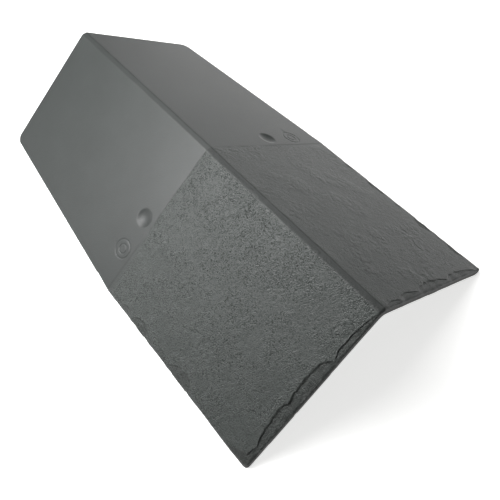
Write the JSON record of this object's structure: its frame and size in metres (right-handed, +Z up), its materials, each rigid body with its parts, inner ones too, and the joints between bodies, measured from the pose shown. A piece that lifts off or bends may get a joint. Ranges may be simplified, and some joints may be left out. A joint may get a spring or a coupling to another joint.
{
  "type": "slate-effect ridge tile",
  "caption": "Bent one-piece ridge tile with a slate-textured exposed half with flaked edges and a smooth tapered tail that the next tile laps.",
  "frame": {"origin": "centre of the box's base, on the floor on which the long edges of the exposed half stand", "axes": "+Y along the ridge from the exposed end to the tail's end, +X across to the right wing, +Z up"},
  "size_m": [0.2538, 0.406, 0.0898],
  "materials": {
    "moulded_slate": "matt grey moulding, riven slate texture on the exposed half, smooth satin on the tail"
  },
  "bodies": {
    "root": {"ridge_tile": "moulded_slate"}
  },
  "joints": []
}
